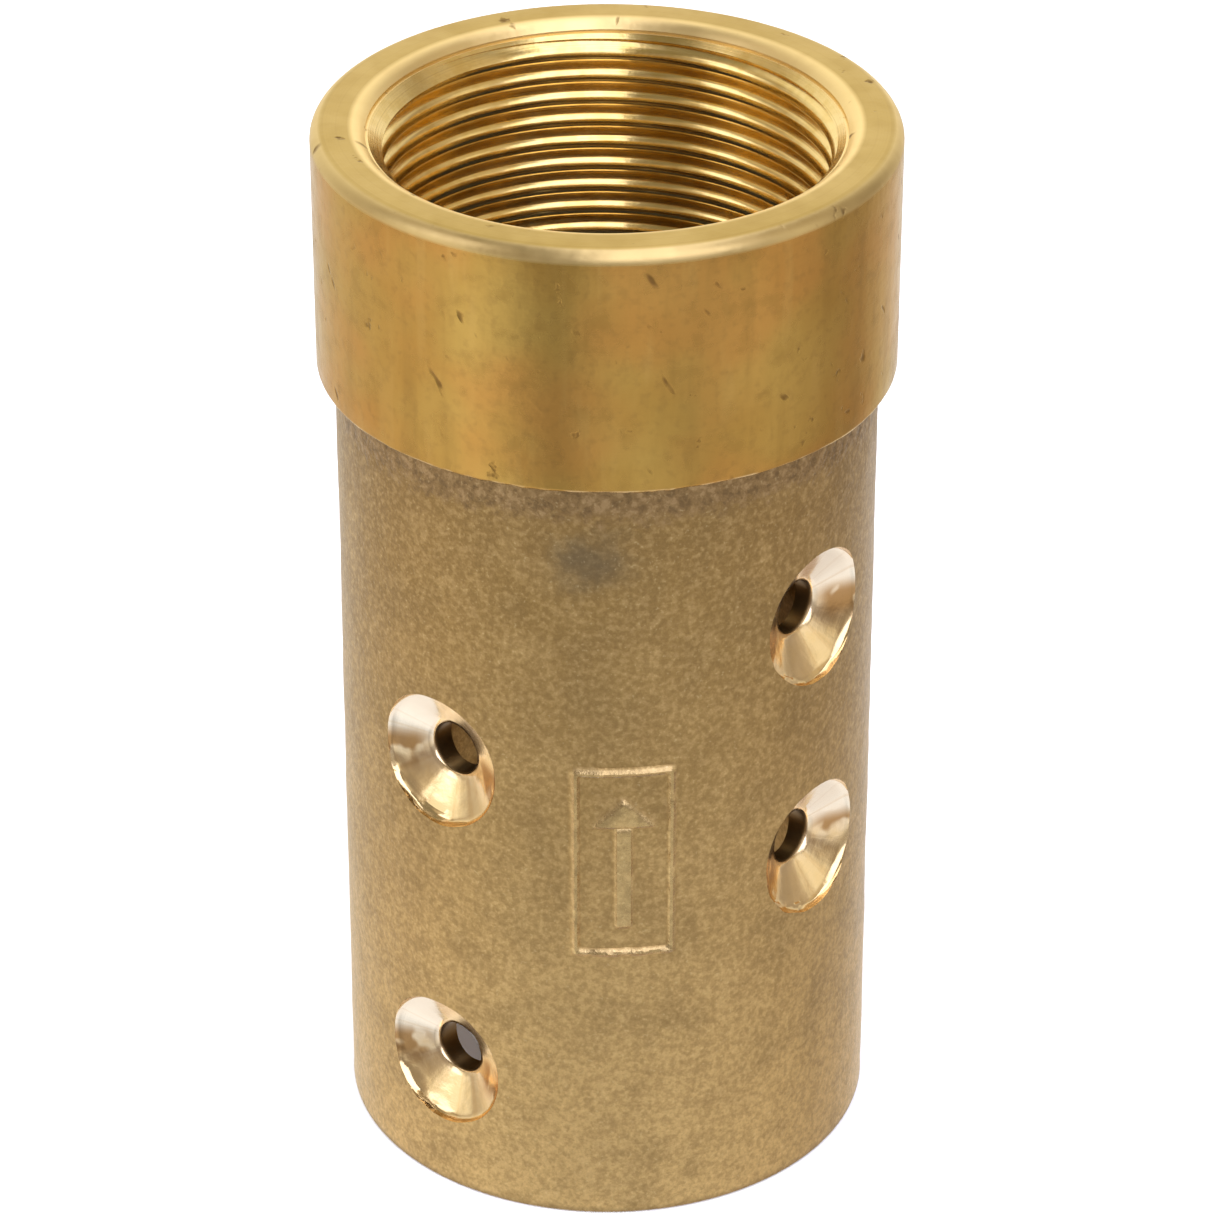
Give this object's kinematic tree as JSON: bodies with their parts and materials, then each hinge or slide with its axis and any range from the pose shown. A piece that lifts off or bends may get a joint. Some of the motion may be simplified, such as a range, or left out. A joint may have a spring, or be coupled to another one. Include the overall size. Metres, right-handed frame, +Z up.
{
  "type": "blast hose nozzle holder",
  "caption": "Brass blast hose nozzle holder: threaded collar socket with a rubber washer on its lip, above a plain hose sleeve with countersunk screw holes.",
  "frame": {"origin": "centre of the bottom face, on the axis of the sleeve", "axes": "+Z up along the axis, from the hose end to the nozzle end; -Y is the front, which carries the raised flow arrow; +X is to the right of the front"},
  "size_m": [0.0518, 0.0518, 0.1],
  "materials": {
    "brass": "sand-cast sleeve, satin turned collar and thread, freshly cut countersinks",
    "rubber": "matt moulded black rubber"
  },
  "bodies": {
    "holder": {"holder_body": "brass"},
    "washer": {"nozzle_washer": "rubber"}
  },
  "joints": [
    {"name": "washer_lift", "type": "slide", "parent": "holder", "child": "washer", "axis": [0, 0, 1], "range_m": [0, 0.03]}
  ]
}
